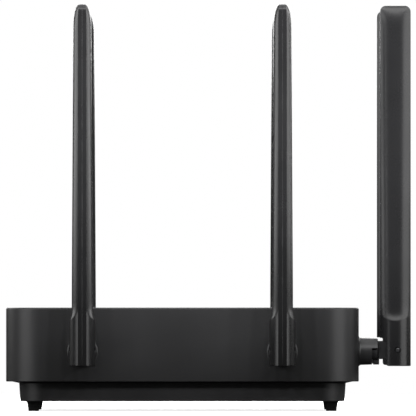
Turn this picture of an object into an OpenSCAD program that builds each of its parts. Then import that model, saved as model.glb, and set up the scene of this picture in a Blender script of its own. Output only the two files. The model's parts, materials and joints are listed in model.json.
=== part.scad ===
// Wireless router: flat box on a recessed plinth with six folding antennas.
// Frame: origin on the table under the middle of the whole object, +Z up,
// -Y towards the front wall, +Y towards the wall that carries the sockets.

/* [Case] */
// Overall width of the case across its two side walls
case_w = 212; // [208:1:224]
// Depth of the case from front wall to rear wall
case_d = 160; // [160:1:170]
// Height of the case's top face above the table
case_top = 47; // [46:0.5:50]
// Height of the cover's lower edge above the table
skirt_z = 13.45; // [13.2:0.05:13.6]
// Radius of the case's four upright corners
case_r = 17; // [15:0.5:18]
// Thickness of the cover's side walls
wall = 2.2; // [2:0.1:2.4]
// Thickness of the cover's top panel
roof = 2.4; // [2:0.1:3]

/* [Plinth and feet] */
// How far the plinth's upper edge stands in from the case walls
plinth_inset = 5.95; // [5.5:0.05:6.2]
// Extra inset at the plinth's lower edge, which gives its slight taper
plinth_taper = 0.5; // [0.3:0.1:0.8]
// Height of the feet, and so of the plinth's underside
foot_h = 4.5; // [4:0.1:5]
// Distance of each foot's middle from the front or rear wall
foot_inset_y = 12.4; // [12:0.2:16]
// Distance of each foot's middle from the side wall
foot_inset_x = 34; // [30:1:44]
// Length of each foot along the width of the case
foot_len = 17; // [12:1:22]

/* [Antenna] */
// Height of the hinge barrel's axis above the table
axis_z = 27.1; // [27:0.1:27.6]
// Distance of the side antennas from the front and rear walls
side_seat = 34.75; // [34:0.25:36]
// Distance of the rear antennas from the middle of the rear wall
rear_seat = 83; // [82:0.5:85]
// Height of the antenna tips above the table
tip_z = 184; // [170:1:184]
// Width of the blade, measured away from the wall
blade_w = 13.9; // [13.6:0.1:14.1]
// Gap between the case wall and the blade's inner face
blade_gap = 9.7; // [9.7:0.1:10.2]
// Thickness of the blade just above its base block
blade_t = 9.5; // [9.2:0.1:9.6]
// Thickness of the blade just below its tip
tip_t = 8.15; // [8:0.05:8.4]
// Thickness of the base block
block_t = 11.8; // [11.6:0.1:12]
// Width of the flat strip along the blade's narrow faces
strip_w = 3.9; // [3.6:0.1:4.2]
// Radius of the boss moulded on the case wall
boss_r = 6; // [5.9:0.05:6.1]
// Radius of the swivelling barrel
barrel_r = 4; // [3.9:0.05:4]
// Radius of the tilt pin
pin_r = 1; // [0.9:0.05:1.1]
// Distance of the tilt pin from the case wall
pin_x = 17.7; // [17.6:0.05:17.8]

/* [Sockets and buttons] */
// Distance between neighbouring network sockets
port_pitch = 18.6; // [18:0.1:19]
// Place of the first network socket along the rear wall
wan_x = -34; // [-36:0.5:-32]
// Place of the power inlet along the rear wall
dc_x = -53; // [-54:0.5:-52]
// Place of the mesh pairing button along the rear wall
mesh_x = 40; // [39:0.5:42]
// Place of the recessed reset button along the rear wall
reset_x = 52; // [50:0.5:54]
// Travel of both buttons
button_travel = 0.8; // [0.6:0.1:0.8]

/* [Hidden] */
SEAT_NAMES = ["right_front", "right_rear", "left_front", "left_rear", "rear_right", "rear_left"];
ANTENNA_PARTS = ["knuckle", "hinge_pin", "shell_left", "shell_right", "radiator"];
ROOT_NODES = [
  "top_cover", "base_tray", "mainboard", "heatsink", "thermal_pads", "chips", "rf_shields",
  "board_components", "ethernet_magnetics", "wan_port", "lan_port_1", "lan_port_2", "lan_port_3",
  "port_contacts", "dc_jack", "dc_jack_pin", "mesh_button", "reset_button", "tact_switches",
  "light_pipe", "led_chips", "foot_front_left", "foot_front_right", "foot_rear_left",
  "foot_rear_right", "case_screws", "board_screws", "coax_leads", "coax_plugs", "rating_plate"
];

$fn = 48;
fit_gap = 0.05;        // radial running clearance of the barrel and the tilt pin
free_gap = 0.3;        // clearance between pieces that move past each other
reach = blade_gap + blade_w;
front_y = -(case_d + reach) / 2;
rear_y = front_y + case_d;
mid_y = (front_y + rear_y) / 2;
roof_z = case_top - roof;

// Places of the six antennas: x, y and the turn that points each away from its wall
SEATS = [
  [case_w / 2, front_y + side_seat, 0],
  [case_w / 2, rear_y - side_seat, 0],
  [-case_w / 2, front_y + side_seat, 180],
  [-case_w / 2, rear_y - side_seat, 180],
  [rear_seat, rear_y, 90],
  [-rear_seat, rear_y, 90]
];
module seat(i) translate([SEATS[i][0], SEATS[i][1], axis_z]) rotate([0, 0, SEATS[i][2]]) children();

// ---------- general helpers ----------

// Upright plate with rounded corners, set in from the case outline
module case_plate(inset, z0, z1) {
  r = case_r - inset;
  w = case_w - 2 * inset;
  d = case_d - 2 * inset;
  translate([0, mid_y, z0]) {
    translate([-w / 2, -d / 2 + r, 0]) cube([w, d - 2 * r, z1 - z0]);
    translate([-w / 2 + r, -d / 2, 0]) cube([w - 2 * r, d, z1 - z0]);
    for (sx = [-1, 1], sy = [-1, 1])
      translate([sx * (w / 2 - r), sy * (d / 2 - r), 0]) cylinder(r = r, h = z1 - z0);
  }
}
// Rod along +X, +Y or +Z from a start point
module rod_x(r, x0, x1, y = 0, z = 0) translate([x0, y, z]) rotate([0, 90, 0]) cylinder(r = r, h = x1 - x0);
module rod_y(r, y0, y1, x = 0, z = 0) translate([x, y0, z]) rotate([-90, 0, 0]) cylinder(r = r, h = y1 - y0);
// Box given by its lowest and highest corner
module block(lo, hi) translate(lo) cube(hi - lo);
// Box with its middle at x and y, standing on z
module chip(x, y, z, w, d, h) translate([x - w / 2, y - d / 2, z]) cube([w, d, h]);
// A module's children at four places, mirrored about the middle of the case
module four(dx, dy) for (sx = [-1, 1], sy = [-1, 1]) translate([sx * dx, mid_y + sy * dy, 0]) children();

// ---------- antenna: local +X leads away from the wall, origin on the barrel axis ----------

pin_z = 0.5;                               // height of the tilt pin above the barrel axis
tongue_r = 4;                              // half height and tip radius of the tongue
tongue_t = 3.8;                            // thickness of the tongue
slot_t = tongue_t + 2 * free_gap;          // width of the slot between the ears
boss_len = 6;                              // length of the full boss
collar_len = 8.7;                          // reach of the half collar above it
lug_x = [6.5, 9.3];                        // the stop lug's start and end
lug_w = 2.3;                               // width of the stop lug
blade_mid = blade_gap + blade_w / 2;       // middle of the blade
block_bottom = -6.65;                      // underside of the base block
ear_gap = 12.4;                            // distance of the ears from the wall
notch_z = 6.1;                             // height of the notch above the ears
shoulder_z = [15, 18.9];                   // lower and upper end of the shoulder
tip_len = 9.5;                             // height of the rounded tip
tip_top = tip_z - axis_z;
shell_wall = 1.3;
lead_r = 0.6;
bore_r = 1.3;                              // hollow for the lead through the barrel
barb_r = barrel_r + 0.6;
barrel_x = [-5.2, 8.4];                    // the barrel's inner and outer end
neck_x = 9.2;                              // end of the cone that leads into the tongue
neck_r = 2.4;                              // radius of the cone's end
tongue_x = collar_len + free_gap;          // start of the tongue, clear of the collar
lead_slot_x = [10.6, 13.4];                // opening on top of the tongue, where the lead comes out
barb_x = -3.9;                             // where the barb behind the wall starts to widen
barb_len = 1.4;
slit_w = 1.2;                              // crossed slits that let the barbs snap in
slit_end = -0.5;
pin_inset = 0.55;                          // how far the tilt pin's ends stand in from the block's faces
rim_r = pin_r + 0.6;                       // shallow recess round each end of the tilt pin
ear_round_r = 1.2;
radiator_w = 8;
radiator_t = 0.8;
radiator_z = 26;                           // lower edge of the radiating board
trace_z = [30, 70];                        // the fed strip on the board's face
sleeve_z = 22;                             // lower end of the lead's solder sleeve

// Outline of the blade: two flat strips joined by two arcs
function lens(half_t, half_w, half_strip) =
  let (rise = half_t - half_strip, r = (half_w * half_w + rise * rise) / (2 * rise),
       a = asin(half_w / r), n = 6)
    [for (s = [1, -1]) for (k = [-n:n]) [s * r * sin(a * k / n), s * (r * cos(a * k / n) - r + half_t)]];
module lens_plate(z, half_t, half_w, half_strip, h = 0.02)
  translate([blade_mid, 0, z]) linear_extrude(height = h) polygon(lens(half_t, half_w, half_strip));

module blade_body() {
  hw = blade_w / 2;
  hs = strip_w / 2;
  tip = tip_t / 2;
  hull() {
    lens_plate(block_bottom, block_t / 2 - 0.5, hw - 0.5, hs - 0.2);
    lens_plate(block_bottom + 0.5, block_t / 2, hw - 0.05, hs);
    lens_plate(shoulder_z[0], block_t / 2, hw - 0.05, hs);
    lens_plate(shoulder_z[1], blade_t / 2 - 0.05, hw - 0.05, hs);
  }
  hull() {
    lens_plate(shoulder_z[1] - 1, blade_t / 2, hw, hs);
    lens_plate(tip_top - tip_len, tip, hw, hs);
    lens_plate(tip_top - 4, tip * 0.85, hw - 0.15, hs * 0.95);
    lens_plate(tip_top - 1.4, tip * 0.67, hw - 1.1, hs * 0.85);
    lens_plate(tip_top - 0.02, tip * 0.54, hw - 2.7, hs * 0.8);
  }
}
// Hollow of the blade with the slot, the notch and the pin's holes
module blade_hollow() {
  hull() {
    lens_plate(pin_z + tongue_r, blade_t / 2 - shell_wall, blade_w / 2 - 1.7, strip_w / 2 - 0.5);
    lens_plate(tip_top - 8, tip_t / 2 - shell_wall, blade_w / 2 - 1.7, strip_w / 2 - 0.5);
  }
  slot_end = pin_x + tongue_r + free_gap;
  block([ear_gap - 1, -slot_t / 2, block_bottom - 1], [slot_end, slot_t / 2, pin_z + tongue_r + free_gap]);
  block([0, -block_t, block_bottom - 1], [ear_gap, block_t, notch_z]);
  rod_y(pin_r + 0.02, -block_t, block_t, pin_x, pin_z);
  for (s = [-1, 1]) translate([pin_x, s * (block_t / 2 + 0.55), pin_z]) rotate([90, 0, 0])
    cylinder(r = rim_r, h = 2, center = true);
}
// The ears' inner lower corner, rounded so that it swings past the barrel
module ear_round() {
  r = ear_round_r;
  x = ear_gap + r;
  z = block_bottom + r;
  difference() {
    block([ear_gap - 0.5, -block_t, block_bottom - 0.5], [x, block_t, z]);
    rod_y(r, -block_t - 1, block_t + 1, x, z);
  }
}
module shell(side) color([0.16, 0.16, 0.17]) difference() {
  intersection() {
    blade_body();
    block([0, min(side * 0.01, side * 20), -20], [40, max(side * 0.01, side * 20), 200]);
  }
  blade_hollow();
  ear_round();
}
module knuckle() color([0.10, 0.10, 0.11]) difference() {
  union() {
    rod_x(barrel_r, barrel_x[0], barrel_x[1]);
    translate([barrel_x[1], 0, 0]) rotate([0, 90, 0])
      cylinder(r1 = barrel_r, r2 = neck_r, h = neck_x - barrel_x[1]);
    block([tongue_x, -tongue_t / 2, pin_z - tongue_r], [pin_x, tongue_t / 2, pin_z + tongue_r]);
    rod_y(tongue_r, -tongue_t / 2, tongue_t / 2, pin_x, pin_z);
    translate([barb_x, 0, 0]) rotate([0, 90, 0]) cylinder(r1 = barrel_r - 0.3, r2 = barb_r, h = barb_len);
    block([lug_x[0], -lug_w / 2, -boss_r], [lug_x[1], lug_w / 2, -1]);
  }
  rod_x(bore_r, barrel_x[0] - 1, lead_slot_x[1] - 0.4);
  block([lead_slot_x[0], -bore_r, 0], [lead_slot_x[1], bore_r, 8]);
  rod_y(pin_r + fit_gap, -5, 5, pin_x, pin_z);
  block([barrel_x[0] - 1, -slit_w / 2, -boss_r], [slit_end, slit_w / 2, boss_r]);
  block([barrel_x[0] - 1, -boss_r, -slit_w / 2], [slit_end, boss_r, slit_w / 2]);
}
module hinge_pin() color([0.62, 0.62, 0.64])
  rod_y(pin_r, -block_t / 2 + pin_inset, block_t / 2 - pin_inset, pin_x, pin_z);
// Board that radiates, with the lead's last stretch and its solder sleeve
module radiator() color([0.10, 0.33, 0.16]) {
  lead_z = pin_z + tongue_r + 1;
  block([blade_mid - radiator_w / 2, -radiator_t / 2, radiator_z],
        [blade_mid + radiator_w / 2, radiator_t / 2, tip_top - 12]);
  block([blade_mid - 1, radiator_t / 2, trace_z[0]], [blade_mid + 1, radiator_t / 2 + 0.5, trace_z[1]]);
  translate([blade_mid, 0, lead_z]) cylinder(r = lead_r, h = radiator_z + 0.2 - lead_z);
  translate([blade_mid, 0, sleeve_z]) cylinder(r = 1.1, h = radiator_z - 0.1 - sleeve_z);
}

// ---------- cover and tray ----------

socket_z = 16.6;                           // upper face of the main board
board_t = 1.6;
jack = [15.9, 15.5, 13.5];                 // network socket: width, depth, height
jack_face = rear_y - 0.3;                  // the sockets' mouths, just inside the wall's face
inner_y = rear_y - wall;
port_x = [for (i = [0:3]) wan_x + i * port_pitch];
dc_size = [10, 13, 11];
dc_axis_z = socket_z + 6;
button_z = socket_z + 5.5;
mesh_r = 2.9;
pinhole_r = 0.8;
lamp_x = [-9, 9];
lamp_y = front_y + 20;
lamp = [8, 1.5];
post = [95, 66];                           // half spacings of the case screws
stud = [72, 58];                           // half spacings of the board screws
post_r = 3.6;
screw_r = 1.3;
slot_rows = 15;                            // vent slots in each field of the roof
floor_slots = 8;                           // vent slots in each field of the floor
slot_step = 6;
slot_gap = 2.4;
roof_vent = [62, 56];                      // middle and slot length of the roof's vent fields
floor_vent = [50, 36, 36];                 // middle in x and y and slot length of the floor's vent fields
socket_slack = 0.2;                        // gap round the sockets in the rear wall
button_slack = 0.3;
tray_wall = 2.4;
head = [2.5, 1.85];                        // screw head: radius and height
recess = [2.8, 2.5];                       // recess for a case screw's head: radius and depth

// A field of parallel slots, cut through a panel between two heights
module vent_field(x, y, len, rows, z0, z1) {
  for (k = [0:rows - 1]) chip(x, y + (k - (rows - 1) / 2) * slot_step, z0, len, slot_gap, z1 - z0);
}
module seat_boss() {
  translate([-0.5, 0, 0]) rotate([0, 90, 0])
    cylinder(r1 = boss_r + 0.1, r2 = boss_r - 0.1, h = boss_len + 0.5);
  difference() {
    rod_x(boss_r - 0.1, boss_len - 0.5, collar_len);
    rod_x(barrel_r + free_gap + 0.1, boss_len, collar_len + 1);
    block([boss_len, -10, -10], [collar_len + 1, 10, 1.5]);
  }
}
// Opening in the rear wall for a socket that stands on the board
module wall_window(x, w, h) block([x - w / 2 - socket_slack, inner_y - 1, socket_z - socket_slack],
                                  [x + w / 2 + socket_slack, rear_y + 1, socket_z + h + socket_slack]);
module top_cover() color([0.11, 0.11, 0.12]) {
  difference() {
    union() {
      case_plate(0, skirt_z, case_top);
      for (i = [0:5]) seat(i) seat_boss();
    }
    case_plate(wall, skirt_z - 1, roof_z);
    for (i = [0:5]) seat(i) rod_x(barrel_r + fit_gap, -10, boss_len + 1);
    for (x = port_x) wall_window(x, jack[0], jack[2]);
    wall_window(dc_x, dc_size[0], dc_size[2]);
    rod_y(mesh_r + button_slack, inner_y - 1, rear_y + 1, mesh_x, button_z);
    rod_y(pinhole_r, inner_y - 1, rear_y + 1, reset_x, button_z);
    for (x = lamp_x) chip(x, lamp_y, roof_z - 1, lamp[0] + 0.2, lamp[1] + 0.2, roof + 2);
    for (sx = [-1, 1])
      vent_field(sx * roof_vent[0], mid_y, roof_vent[1], slot_rows, roof_z - 1, case_top + 1);
  }
  four(post[0], post[1]) difference() {
    translate([0, 0, socket_z]) cylinder(r = post_r, h = roof_z - socket_z + 0.5);
    translate([0, 0, socket_z - 1]) cylinder(r = screw_r, h = 13);
  }
}
tray_floor = foot_h + 2;
flange_in = wall + 0.2;
plinth_z = 12.85;
plate_pocket = [54, 34, 0.5];              // recess for the rating plate: width, depth, height
module base_tray() color([0.09, 0.09, 0.10]) difference() {
  union() {
    difference() {
      union() {
        hull() {
          case_plate(flange_in, skirt_z + 0.05, skirt_z + 1.5, $fn = 32);
          case_plate(plinth_inset + 0.2, plinth_z, plinth_z + 0.1, $fn = 32);
        }
        hull() {
          case_plate(plinth_inset, plinth_z, plinth_z + 0.4, $fn = 32);
          case_plate(plinth_inset + plinth_taper, foot_h, foot_h + 0.1, $fn = 32);
        }
      }
      case_plate(plinth_inset + tray_wall, tray_floor, 30);
    }
    four(post[0], post[1]) translate([0, 0, foot_h + 1]) cylinder(r = post_r, h = socket_z - foot_h - 1.1);
    four(stud[0], stud[1]) translate([0, 0, foot_h + 1])
      cylinder(r = post_r, h = socket_z - board_t - foot_h - 1);
  }
  four(post[0], post[1]) {
    translate([0, 0, foot_h - 1]) cylinder(r = screw_r + 0.3, h = 20);
    translate([0, 0, foot_h - 1]) cylinder(r = recess[0], h = recess[1] + 1);
  }
  four(stud[0], stud[1]) translate([0, 0, tray_floor + 1]) cylinder(r = screw_r - 0.1, h = 20);
  for (sx = [-1, 1], sy = [-1, 1])
    vent_field(sx * floor_vent[0], mid_y + sy * floor_vent[1], floor_vent[2], floor_slots,
               foot_h - 1, tray_floor + 1);
  chip(0, mid_y, foot_h - 1, plate_pocket[0] + 0.6, plate_pocket[1] + 0.6, 1 + plate_pocket[2]);
}
module foot(sx, sy) color([0.05, 0.05, 0.05]) {
  x = sx * (case_w / 2 - foot_inset_x);
  y = mid_y + sy * (case_d / 2 - foot_inset_y);
  hull() {
    chip(x, y, 0, foot_len - 1, 4.2, 0.1);
    chip(x, y, 0.4, foot_len, 4.9, 0.1);
    chip(x, y, foot_h - 1.3, foot_len + 0.8, 6, 0.1);
    chip(x, y, foot_h - 0.1, foot_len + 2.4, 8, 0.1);
  }
}
module rating_plate() color([0.55, 0.55, 0.56])
  chip(0, mid_y, foot_h + 0.1, plate_pocket[0], plate_pocket[1], plate_pocket[2] - 0.1);
// Screw with a pan head and a cross recess, its head down
module screw(len, head_r, head_h) difference() {
  union() {
    cylinder(r = head_r, h = head_h);
    cylinder(r = screw_r - 0.15, h = len);
  }
  for (a = [0, 90]) rotate([0, 0, a]) chip(0, 0, -1, head_r * 1.1, 0.6, 1 + head_h * 0.55);
}
module case_screws() color([0.7, 0.7, 0.72])
  four(post[0], post[1]) translate([0, 0, foot_h + 0.6]) screw(20, head[0], head[1]);
module board_screws() color([0.7, 0.7, 0.72])
  four(stud[0], stud[1]) translate([0, 0, socket_z + 1.6]) mirror([0, 0, 1]) screw(8, head[0], 1.55);

// ---------- electronics ----------

board_w = 168;
board_front = front_y + 12;
board_rear = rear_y - wall - 0.6;
module mainboard() color([0.06, 0.28, 0.18]) difference() {
  block([-board_w / 2, board_front, socket_z - board_t], [board_w / 2, board_rear, socket_z]);
  four(stud[0], stud[1]) translate([0, 0, socket_z - 5]) cylinder(r = screw_r + 0.3, h = 10);
  for (s = [-1, 1]) block([s * rear_seat - 9, board_rear - 12, 0], [s * rear_seat + 9, board_rear + 1, 40]);
}
// Main chips: place on the board and side length
main_chips = [[-28, -20, 21], [10, -20, 17], [44, -24, 13], [-28, 14, 13], [8, 14, 14], [44, 10, 10]];
chip_h = 1.4;
pad_h = 1.2;
pad_share = 0.85;                          // side of a thermal pad as a share of its chip's side
module chips() color([0.10, 0.10, 0.11])
  for (c = main_chips) chip(c[0], mid_y + c[1], socket_z, c[2], c[2], chip_h);
module thermal_pads() color([0.45, 0.62, 0.75])
  for (c = main_chips) chip(c[0], mid_y + c[1], socket_z + chip_h, c[2] * pad_share, c[2] * pad_share, pad_h);
sink_x = [-46, 58];
sink_y = [-36, 26];                        // the heatsink's front and rear edge, from the case's middle
sink_z = socket_z + chip_h + pad_h;
sink_base = 2.2;
sink_h = 15;
fins = 17;
fin_step = 6.35;
fin_t = 1.4;
module heatsink() color([0.72, 0.73, 0.75]) {
  block([sink_x[0], mid_y + sink_y[0], sink_z], [sink_x[1], mid_y + sink_y[1], sink_z + sink_base]);
  for (x = [for (k = [0:fins - 1]) sink_x[0] + 1 + k * fin_step])
    block([x, mid_y + sink_y[0] + 1, sink_z + 2], [x + fin_t, mid_y + sink_y[1] - 1, sink_z + sink_h]);
}
// Sheet cans soldered over the radio stages, in front of and beside the heatsink
cans = [[-62, -34, 24, 28], [-62, 4, 24, 30], [70, -30, 18, 30], [-34, -56, 30, 14], [34, -56, 30, 14]];
can_h = 2.8;
can_t = 0.4;
can_top_t = 0.3;
module rf_shields() color([0.75, 0.76, 0.78]) for (c = cans) difference() {
  chip(c[0], mid_y + c[1], socket_z, c[2], c[3], can_h);
  chip(c[0], mid_y + c[1], socket_z - 1, c[2] - 2 * can_t, c[3] - 2 * can_t, 1 + can_h - can_top_t);
}
// Small parts of the board: place of the first one, how many and the step between them
capacitors = [[-74, 37], 4, 9];
inductors = [[66, 2], 3, 11];
passives = [[[-70, 26], 8, 3.2], [[60, -50], 6, 3.2]];
crystals = [[-44, 34], [62, 40]];
module board_components() color([0.25, 0.25, 0.27]) {
  for (k = [0:capacitors[1] - 1])
    translate([capacitors[0][0] + k * capacitors[2], mid_y + capacitors[0][1], socket_z])
      cylinder(r = 3, h = 9);
  for (k = [0:inductors[1] - 1])
    chip(inductors[0][0], mid_y + inductors[0][1] + k * inductors[2], socket_z, 8, 8, 4);
  for (row = passives, k = [0:row[1] - 1])
    chip(row[0][0] + k * row[2], mid_y + row[0][1], socket_z, 1.6, 2.6, 1);
  for (c = crystals) chip(c[0], mid_y + c[1], socket_z, 5, 3.2, 1.1);
}
magnetics = [12, 8, 5.5];                  // network transformer: width, depth, height
module ethernet_magnetics() color([0.12, 0.12, 0.13])
  for (x = port_x) chip(x, inner_y - 30, socket_z, magnetics[0], magnetics[1], magnetics[2]);
mouth = [11.9, 12.6, 7.2];                 // plug space of a network socket: width, depth, height
mouth_z = socket_z + 4.6;
latch = [6.4, 2.4];                        // width and height of the latch's notch
module network_socket(x) {
  y0 = jack_face - jack[1];
  difference() {
    block([x - jack[0] / 2, y0, socket_z], [x + jack[0] / 2, jack_face, socket_z + jack[2]]);
    block([x - mouth[0] / 2, jack_face - mouth[1], mouth_z],
          [x + mouth[0] / 2, jack_face + 1, mouth_z + mouth[2]]);
    block([x - latch[0] / 2, jack_face - mouth[1], mouth_z - latch[1]],
          [x + latch[0] / 2, jack_face + 1, mouth_z + 1]);
  }
}
module wan_port() color([0.10, 0.25, 0.55]) network_socket(port_x[0]);
module lan_port(i) color([0.08, 0.08, 0.09]) network_socket(port_x[i]);
// Eight sprung contacts in each socket: a flat root against the ceiling, then a run that slopes down inwards
contacts = 8;
contact_pitch = 1.02;
contact = [0.4, 7.5, 0.35];                // width, sloping length and thickness
contact_root_y = [-5, -3];                 // the flat root's start and end, from the socket's face
contact_slope = 14;
module port_contacts() color([0.85, 0.68, 0.25])
  for (x = port_x, k = [0:contacts - 1])
    translate([x + (k - (contacts - 1) / 2) * contact_pitch - contact[0] / 2,
               jack_face, mouth_z + mouth[2]]) {
      translate([0, contact_root_y[0], -contact[2]])
        cube([contact[0], contact_root_y[1] - contact_root_y[0], contact[2]]);
      translate([0, contact_root_y[0], 0]) rotate([contact_slope, 0, 0])
        translate([0, -contact[1], -contact[2]]) cube([contact[0], contact[1], contact[2]]);
    }
dc_bore_r = 3.15;                          // round well of the power inlet
dc_bore_len = 9.5;
dc_pin_r = 1;
dc_root_r = 1.2;                           // thicker root of the pin, up to just above the well's floor
dc_root_y = [-11.5, -8.9];
dc_pin_end = -0.8;
module dc_jack() color([0.07, 0.07, 0.08]) difference() {
  block([dc_x - dc_size[0] / 2, jack_face - dc_size[1], socket_z],
        [dc_x + dc_size[0] / 2, jack_face, socket_z + dc_size[2]]);
  rod_y(dc_bore_r, jack_face - dc_bore_len, jack_face + 1, dc_x, dc_axis_z);
  rod_y(dc_root_r, jack_face + dc_root_y[0], jack_face, dc_x, dc_axis_z);
}
module dc_jack_pin() color([0.8, 0.8, 0.8]) {
  rod_y(dc_root_r, jack_face + dc_root_y[0], jack_face + dc_root_y[1], dc_x, dc_axis_z);
  rod_y(dc_pin_r, jack_face + dc_root_y[0], jack_face + dc_pin_end, dc_x, dc_axis_z);
}
flange_y = [-1.5, -0.3];                   // a button's flange, behind the rear wall's inner face
stem_end = -3.4;                           // end of a button's stem, behind the same face
module mesh_button() color([0.14, 0.14, 0.15]) {
  rod_y(mesh_r, inner_y + flange_y[1], rear_y + 0.3, mesh_x, button_z);
  rod_y(mesh_r + 1.2, inner_y + flange_y[0], inner_y + flange_y[1], mesh_x, button_z);
  rod_y(1.2, inner_y + stem_end, inner_y - 1, mesh_x, button_z);
}
module reset_button() color([0.14, 0.14, 0.15]) {
  rod_y(2 * pinhole_r, inner_y + flange_y[0], inner_y + flange_y[1], reset_x, button_z);
  rod_y(0.9, inner_y + stem_end, inner_y - 1, reset_x, button_z);
}
// Switch bodies with their plungers, one behind each button
module tact_switches() color([0.2, 0.2, 0.21]) for (x = [mesh_x, reset_x]) {
  chip(x, inner_y - 7, socket_z, 6, 3.6, 7.4);
  rod_y(1.6, inner_y - 5.4, inner_y + stem_end - 0.1 - button_travel, x, button_z);
}
module led_chips() color([0.9, 0.9, 0.82]) for (x = lamp_x) chip(x, lamp_y, socket_z, 3, 1.6, 0.8);
// Two clear blades that carry the lamps' light to the roof, joined by a cross bar
module light_pipe() color([0.85, 0.87, 0.9]) {
  for (x = lamp_x) {
    chip(x, lamp_y, socket_z + 1.4, 5, lamp[1], 15);
    chip(x, lamp_y, socket_z + 16, lamp[0], lamp[1], case_top - 0.1 - socket_z - 16);
  }
  chip(0, lamp_y, roof_z - 6, lamp_x[1] - lamp_x[0] + lamp[0], lamp[1], 4);
}

// ---------- coaxial leads, one from each antenna's barrel to its plug on the board ----------

barrel_end = 5.6;                          // the leads stop just inside the barrels' inner ends
plug_z = socket_z + 1.3;
lead_pull = 9;                             // straight pull of a lead at either end
// Plug places on the board, in the order of the seats
PLUGS = [[81.5, -44], [81.5, 14], [-78, -44], [-78, 22], [58, 52], [-62, 50]];
// Point on a Bezier curve through four control points
function bezier(p, t) =
  pow(1 - t, 3) * p[0] + 3 * t * pow(1 - t, 2) * p[1] + 3 * t * t * (1 - t) * p[2] + pow(t, 3) * p[3];
function bezier_dir(p, t) =
  let (v = 3 * pow(1 - t, 2) * (p[1] - p[0]) + 6 * t * (1 - t) * (p[2] - p[1]) + 3 * t * t * (p[3] - p[2]))
    v / norm(v);
function lead_route(i) =
  let (s = SEATS[i], out = [cos(s[2]), sin(s[2]), 0], a = [s[0], s[1], axis_z] - barrel_end * out,
       b = [PLUGS[i][0], mid_y + PLUGS[i][1], plug_z + 0.6])
    [a, a - lead_pull * out, b + [0, 0, lead_pull], b];
// Tube swept along a route: rings of points, two caps and the quads between them
module tube(p, r, rings = 14, sides = 8) {
  function ring(t) =
    let (d = bezier_dir(p, t), u0 = cross(d, [0.31, 0.95, 0.05]), u = u0 / norm(u0), v = cross(d, u))
    [for (k = [0:sides - 1]) bezier(p, t) + r * (cos(360 * k / sides) * u + sin(360 * k / sides) * v)];
  points = [for (j = [0:rings]) each ring(j / rings)];
  quads = [for (j = [0:rings - 1], k = [0:sides - 1])
    [j * sides + k, (j + 1) * sides + k, (j + 1) * sides + (k + 1) % sides, j * sides + (k + 1) % sides]];
  caps = [[for (k = [0:sides - 1]) k], [for (k = [sides - 1:-1:0]) rings * sides + k]];
  polyhedron(points, concat(quads, caps));
}
module coax_leads() color([0.12, 0.12, 0.12]) for (i = [0:5]) tube(lead_route(i), lead_r);
module coax_plugs() color([0.85, 0.7, 0.3]) for (p = PLUGS)
  translate([p[0], mid_y + p[1], socket_z]) cylinder(r = 1.4, h = plug_z + 0.6 - socket_z);

// ---------- nodes ----------

top_cover();
base_tray();
mainboard();
heatsink();
thermal_pads();
chips();
rf_shields();
board_components();
ethernet_magnetics();
wan_port();
lan_port(1);  // lan_port_1
lan_port(2);  // lan_port_2
lan_port(3);  // lan_port_3
port_contacts();
dc_jack();
dc_jack_pin();
mesh_button();
reset_button();
tact_switches();
light_pipe();
led_chips();
foot(-1, -1);  // foot_front_left
foot(1, -1);  // foot_front_right
foot(-1, 1);  // foot_rear_left
foot(1, 1);  // foot_rear_right
case_screws();
board_screws();
coax_leads();
coax_plugs();
rating_plate();
for (i = [0:5]) {
  seat(i) knuckle();
  seat(i) hinge_pin();
  seat(i) shell(-1);
  seat(i) shell(1);
  seat(i) radiator();
}
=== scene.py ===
import json
import math
import bmesh
import bpy
from mathutils import Matrix, Vector

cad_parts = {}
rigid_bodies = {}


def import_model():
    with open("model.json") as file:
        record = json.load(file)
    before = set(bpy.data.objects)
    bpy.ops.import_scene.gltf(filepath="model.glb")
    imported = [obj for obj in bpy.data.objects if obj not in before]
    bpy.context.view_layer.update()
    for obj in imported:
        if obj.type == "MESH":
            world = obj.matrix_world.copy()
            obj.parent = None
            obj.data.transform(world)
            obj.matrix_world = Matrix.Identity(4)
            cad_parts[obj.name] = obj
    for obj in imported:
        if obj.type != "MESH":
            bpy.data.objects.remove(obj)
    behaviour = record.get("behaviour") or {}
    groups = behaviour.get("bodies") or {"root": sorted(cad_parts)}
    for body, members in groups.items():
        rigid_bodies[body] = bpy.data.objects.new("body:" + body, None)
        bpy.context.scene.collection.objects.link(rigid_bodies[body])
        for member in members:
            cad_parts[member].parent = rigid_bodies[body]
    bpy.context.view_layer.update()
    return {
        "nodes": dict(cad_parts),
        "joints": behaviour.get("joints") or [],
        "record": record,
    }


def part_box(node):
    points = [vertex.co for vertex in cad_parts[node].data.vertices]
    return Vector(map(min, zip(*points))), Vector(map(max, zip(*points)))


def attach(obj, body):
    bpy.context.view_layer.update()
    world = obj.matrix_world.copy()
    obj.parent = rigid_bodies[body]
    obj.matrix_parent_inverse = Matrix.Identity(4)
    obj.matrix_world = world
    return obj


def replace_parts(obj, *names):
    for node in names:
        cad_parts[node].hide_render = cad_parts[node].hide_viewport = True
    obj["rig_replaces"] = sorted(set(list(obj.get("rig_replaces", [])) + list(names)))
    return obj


# Visual model of the wireless router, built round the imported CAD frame.
# Lengths are in millimetres until piece(), which turns them into metres. Lights and camera are in metres.

MM = 0.001
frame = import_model()

# ---------- sizes taken from the frame ----------


def low(node):
    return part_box(node)[0] / MM


def high(node):
    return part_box(node)[1] / MM


def centre(node):
    return (low(node) + high(node)) / 2


JOINTS = {j["name"]: j for j in frame["joints"]}


def joint_place(name):
    return Vector(JOINTS[name]["pos_m"]) / MM


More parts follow.
